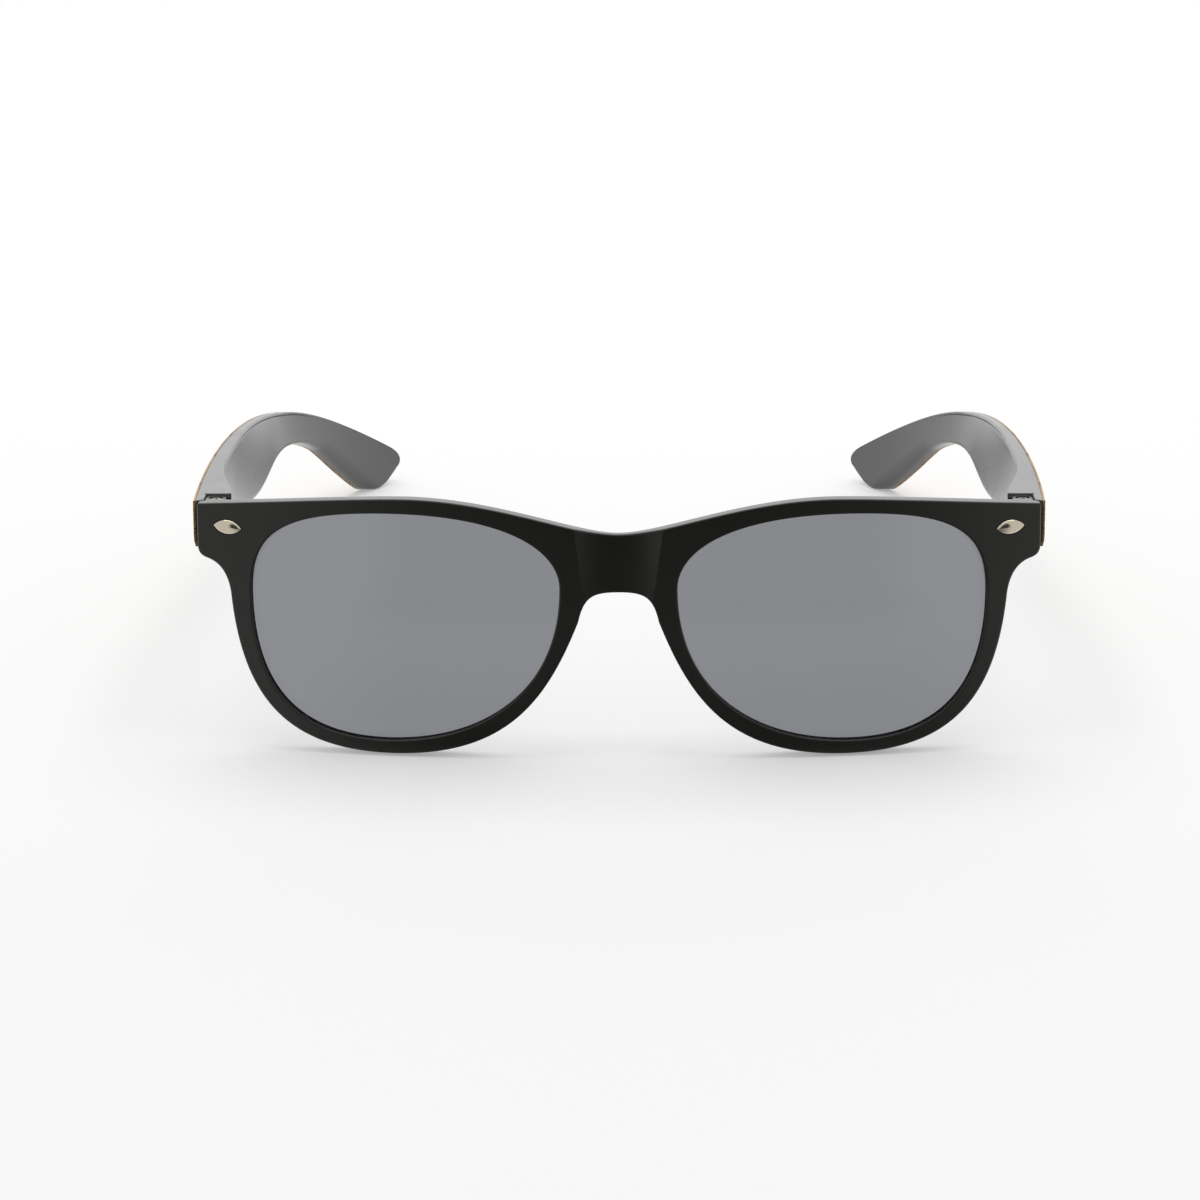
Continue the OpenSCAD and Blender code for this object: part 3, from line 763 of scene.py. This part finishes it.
def black_polycarbonate(name, colour, specular, rough, spots_mm=14, grain_mm=0.32, bump=0.35, bump_mm=0.01):
    """Black polycarbonate as its mould or cutter leaves it: clouded in its gloss, with a grain too fine to see."""
    mat, t = new_material(name)
    at = add(t, "TexCoord").outputs["Object"]
    cloud = noise(t, at, spots_mm, 3.0)
    grain = noise(t, at, grain_mm, 2.0) if grain_mm != spots_mm else cloud
    lift = add(t, "Bump", {"Strength": bump, "Distance": bump_mm * 0.001, "Height": grain})
    dressed(t, {"Base Color": linear(colour), "IOR": 1.55, "Specular IOR Level": specular,
                "Roughness": ranged(t, cloud, 0.3, 0.7, *rough), "Normal": lift.outputs["Normal"]})
    return mat


def smoke_polycarbonate(name, tint):
    """Lens-grade polycarbonate, dyed all through and polished on both faces."""
    mat, t = new_material(name)
    dressed(t, {"Base Color": linear(tint), "IOR": 1.5, "Roughness": 0.0, "Transmission Weight": 1.0,
                "Specular IOR Level": 0.15})
    return mat


def bright_metal(name, colour, rough):
    """Bare metal with faint drag marks from its finishing."""
    mat, t = new_material(name)
    drag = noise(t, add(t, "TexCoord").outputs["Object"], 0.5, 4.0)
    dressed(t, {"Base Color": linear(colour), "Metallic": 1.0,
                "Roughness": ranged(t, drag, 0.3, 0.7, rough, rough + 0.05)})
    return mat


def sliced_wood(name):
    """Thin sliced oak, sealed matt: straight grain along the temple with short dark pores."""
    mat, t = new_material(name)
    # the grain follows the strip round its bends, as a sheet that was bent after slicing
    flat = add(t, "Attribute", {".attribute_name": "flat"}).outputs["Vector"]
    at = add(t, "Mapping", {"Vector": flat, "Scale": (0.06, 1.0, 0.0)}).outputs["Vector"]
    fine = noise(t, at, 0.35, 3.0)
    tone = add(t, "ValToRGB", {"Fac": noise(t, at, 1.4, 4.0, rough=0.6)})
    stops = tone.color_ramp.elements
    stops[0].position, stops[0].color = 0.32, linear("#7A5A34")
    stops[1].position, stops[1].color = 0.7, linear("#D2AC70")
    stops.new(0.5).color = linear("#B08850")
    pores = ranged(t, fine, 0.36, 0.44, 1.0, 0.0)
    grained = add(t, "Mix", {".data_type": "RGBA", 0: pores, 6: tone.outputs["Color"], 7: linear("#5A3F22")})
    lift = add(t, "Bump", {"Strength": 0.4, "Distance": 0.00004, "Height": fine})
    dressed(t, {"Base Color": grained.outputs[2], "Roughness": 0.5, "IOR": 1.45, "Normal": lift.outputs["Normal"]})
    return mat


# Front: a satin black, faintly warm, whose flat faces stay even and whose rounded edges draw thin light lines
BLACK = black_polycarbonate("moulded_black_polycarbonate", "#161710", specular=0.5, rough=(0.26, 0.3))
# Walls of the lens openings: matt and deep black even at a low angle, the dark line round each lens
CUT_BLACK = black_polycarbonate("milled_black_polycarbonate", "#16171A", specular=0.05, rough=(0.6, 0.75),
                                spots_mm=0.3, grain_mm=0.3, bump=0.5, bump_mm=0.02)
# Temples: the front's black plastic with a lighter base colour, painted light for the stronger light on their inner
# faces, and more gloss, so that their inner faces turn grey where they mirror the lit room
ARM_BLACK_PAINTED_LIGHTER = black_polycarbonate("moulded_black_temple_polycarbonate_painted_lighter", "#282827", specular=0.9, rough=(0.24, 0.28))
# Lenses: an even, neutral grey that the paper and the temples show through
SMOKE = smoke_polycarbonate("dyed_smoke_polycarbonate", "#828387")
# Rivets: warm and mirror-bright, with a small dark reflection
NICKEL = bright_metal("stamped_nickel", "#E6DBC6", 0.06)
# Screws: a dull glint in the hinge
STEEL = bright_metal("turned_steel", "#8F8B84", 0.22)
# Veneer: a warm tan edge from the front, an oak-like grain from the side
WOOD = sliced_wood("sliced_wood_veneer")


# ---- Pieces ----
def piece(name, meshes, materials, body, stands_for):
    """One object from its meshes, with its finishes, on its body, in place of its solid."""
    bm = bmesh.new()
    for mesh in meshes:
        bm.from_mesh(mesh)
        bpy.data.meshes.remove(mesh)
    mesh = bpy.data.meshes.new(name)
    bm.to_mesh(mesh)
    bm.free()
    for material in materials:
        mesh.materials.append(material)
    obj = bpy.data.objects.new(name, mesh)
    bpy.context.scene.collection.objects.link(obj)
    weighted = obj.modifiers.new("even_faces", "WEIGHTED_NORMAL")
    weighted.keep_sharp = True
    weighted.weight = 60
    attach(obj, body)
    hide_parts(stands_for)
    return obj


head_room, bore = HEAD_D / 2 + 2 * SCREW_GAP, SCREW_D / 2 + SCREW_GAP
front_meshes = [moulded_front()]
for s in (1, -1):
    front_meshes.append(lug(s, Z_LUG_TOP - LUG_H, Z_LUG_TOP, Y_BACK - 0.6, head_room))
    front_meshes.append(lug(s, Z_LUG_LOW, Z_LUG_LOW + LUG_H, Y_BACK - 0.6, bore))
piece("moulded_front", front_meshes, [BLACK, CUT_BLACK], "front", "front_frame")
for s, word in ((1, "left"), (-1, "right")):
    arm_body = word + "_temple"
    piece(word + "_smoke_lens", [smoke_lens(s)], [SMOKE], "front", word + "_lens")
    piece(word + "_almond_rivet", [domed_rivet(s)], [NICKEL], "front", word + "_front_rivet")
    knuckle = lug(s, Z_KN_LOW, Z_KN_TOP, Y_ARM + NOTCH + 0.3, bore)
    piece(word + "_temple_arm", [temple_core(s), knuckle], [ARM_BLACK_PAINTED_LIGHTER], arm_body, arm_body)
    piece(word + "_veneer_strip", [veneer_strip(s)], [WOOD], arm_body, arm_body + "_veneer")
    piece(word + "_cross_head_screw", hinge_screw(s), [STEEL], "front", word + "_hinge_screw")

# ---- Floor and light ----
# Light that reaches things from all round, and how bright the unlit end of the studio looks in a reflection, in the
# world's light and as painted shade on the paper before the front
ROOM, DIM = 0.45, 0.05
# How much brighter the white paper shows to the camera than it is lit, how much painted glow it has in reflections
# behind the front, and how bright the lit part of the studio looks in a reflection, in the world's light and
# painted on the paper before the front
SEEN_GLOW, PAINTED_MIRROR_GLOW, MIRRORED_ROOM = 0.3, 0.6, 0.62


def unlit_end(tree, direction, height):
    """1 where a direction leads from the object to the unlit end of the studio, in front of it, and 0 elsewhere:
    the dim part of the world's light, and where the paper is painted with shade.
    """
    turn = math.radians(2)
    flat = add(tree, "VectorMath", {".operation": "MULTIPLY", 0: direction, 1: (1, 1, height)})
    unit = add(tree, "VectorMath", {".operation": "NORMALIZE", 0: flat.outputs[0]})
    facing = add(tree, "VectorMath", {".operation": "DOT_PRODUCT", 0: unit.outputs[0],
                                      1: (math.sin(turn), -math.cos(turn), 0)})
    widest, narrowest = math.cos(math.radians(24)), math.cos(math.radians(13))
    return ranged(tree, facing.outputs["Value"], widest, narrowest, kind="SMOOTHSTEP")


def seen_directly(tree, path):
    """1 for what the camera sees, also through the lenses."""
    return maths(tree, "MAXIMUM", path["Is Camera Ray"], path["Is Transmission Ray"])


def paper_white(name):
    """White paper sweep: matt, and seen as white behind the object, with the object's soft shadow kept. In
    reflections it is painted: with shade before the front and with a glow behind it.
    """
    mat, t = new_material(name)
    path = add(t, "LightPath").outputs
    at = add(t, "NewGeometry").outputs["Position"]
    back = add(t, "SeparateXYZ", {0: at}).outputs["Y"]
    # a wrapped front mirrors what lies before it as if seen from a point this far behind it
    from_focus = add(t, "VectorMath", {".operation": "SUBTRACT", 0: at, 1: (0, 0.09, 0)})
    # the painted shade is lighter in the paper's middle, a hand's width before the front, than on the rest
    depth = maths(t, "MAXIMUM", ranged(t, back, -0.09, -0.17, 1.0, 0.5), ranged(t, back, -0.15, -0.42, 0.45, 1.0))
    dark = maths(t, "MULTIPLY", unlit_end(t, from_focus.outputs[0], 0), depth)
    # lit paper, brighter to the camera, and with a painted glow in what mirrors it from behind the front
    before = ranged(t, back, -0.06, -0.09)
    beside = maths(t, "MULTIPLY", maths(t, "SUBTRACT", 1.0, before), path["Is Glossy Ray"])
    glow = maths(t, "MULTIPLY_ADD", seen_directly(t, path), SEEN_GLOW, maths(t, "MULTIPLY", beside, PAINTED_MIRROR_GLOW))
    matt = add(t, "BsdfDiffuse", {"Color": (0.8, 0.8, 0.8, 1)})
    light = add(t, "Emission", {"Color": WHITE, "Strength": glow})
    both = add(t, "AddShader", {0: matt.outputs[0], 1: light.outputs[0]})
    # painted shade: what the front mirrors of the paper before it is a dim glow instead of lit paper
    shade = add(t, "Emission", {"Color": WHITE, "Strength": ranged(t, dark, 0.0, 1.0, MIRRORED_ROOM, DIM)})
    mirrored = maths(t, "MULTIPLY", before, path["Is Glossy Ray"])
    mixed = add(t, "MixShader", {0: mirrored, 1: both.outputs[0], 2: shade.outputs[0]})
    # plain white far from the object, and almost plain behind the lenses, where little of its shadow shows
    reach = add(t, "VectorMath", {".operation": "LENGTH", 0: at}).outputs["Value"]
    far = ranged(t, reach, 0.15, 0.6, kind="SMOOTHSTEP")
    bare = maths(t, "MAXIMUM", maths(t, "MULTIPLY", far, seen_directly(t, path)),
                 maths(t, "MULTIPLY", path["Is Transmission Ray"], 0.75))
    plain = add(t, "Emission", {"Color": WHITE, "Strength": 1.0})
    seen = add(t, "MixShader", {0: bare, 1: mixed.outputs[0], 2: plain.outputs[0]})
    add(t, "OutputMaterial", {"Surface": seen.outputs[0]})
    return mat


bpy.ops.mesh.primitive_plane_add(size=12, location=(0, 0, -0.0001))
floor = bpy.context.active_object
floor.name = "paper_floor"
floor.data.materials.append(paper_white("white_paper"))

world = bpy.data.worlds.new("studio")
bpy.context.scene.world = world
world.use_nodes = True
wt = world.node_tree
wt.nodes.clear()
path = add(wt, "LightPath").outputs
unlit = unlit_end(wt, add(wt, "TexCoord").outputs["Generated"], 0.5)
in_mirrors = ranged(wt, unlit, 0.0, 1.0, MIRRORED_ROOM, DIM)
unseen = add(wt, "Mix", {0: path["Is Glossy Ray"], 2: ROOM, 3: in_mirrors})
brightness = add(wt, "Mix", {0: seen_directly(wt, path), 2: unseen.outputs[0], 3: 1.0})
room = add(wt, "Background", {"Color": WHITE, "Strength": brightness.outputs[0]})
add(wt, "OutputWorld", {"Surface": room.outputs[0]})


def soft_light(name, where, size, power, aim=(0, 0, 0.02)):
    data = bpy.data.lights.new(name, "AREA")
    data.shape, data.size, data.size_y, data.energy = "RECTANGLE", size[0], size[1], power
    lamp = bpy.data.objects.new(name, data)
    lamp.location = where
    lamp.rotation_euler = (Vector(aim) - Vector(where)).to_track_quat("-Z", "Y").to_euler()
    bpy.context.scene.collection.objects.link(lamp)


soft_light("top_softbox", (0, 0.25, 1.1), (1.2, 1.0), 6)
soft_light("back_softbox", (0, 1.3, 0.42), (2.4, 0.8), 5)

# ---- The camera: 700 mm from a point in the front's own frame, 14 degrees above it ----
REACH, UP, SIDEWAYS, ROLL = 700.67, math.radians(14.03), math.radians(0.57), math.radians(0.14)
PIVOT = Vector((0, 0, 23.05))
PICTURE, PIXELS_PER_MM, SENSOR = 1200, 5.84, 36
right = Vector((math.cos(SIDEWAYS), math.sin(SIDEWAYS), 0))
ahead = Vector((-math.sin(SIDEWAYS) * math.cos(UP), math.cos(SIDEWAYS) * math.cos(UP), -math.sin(UP)))
upward = right.cross(ahead)
turned_right = right * math.cos(ROLL) - upward * math.sin(ROLL)
turned_up = right * math.sin(ROLL) + upward * math.cos(ROLL)
basis = TURN @ Matrix((turned_right, turned_up, -ahead)).transposed()
camera = bpy.data.objects.new("camera", bpy.data.cameras.new("camera"))
bpy.context.scene.collection.objects.link(camera)
camera.matrix_world = Matrix.Translation((TURN @ (PIVOT - ahead * REACH) + SHIFT) * 0.001) @ basis.to_4x4()
camera.data.lens = PIXELS_PER_MM * REACH * SENSOR / PICTURE
camera.data.sensor_width = SENSOR
camera.data.shift_x, camera.data.shift_y = -18.53 / PICTURE, 27 / PICTURE
camera.data.clip_start, camera.data.clip_end = 0.01, 20
bpy.context.scene.camera = camera
bpy.context.scene.view_settings.view_transform = "Standard"
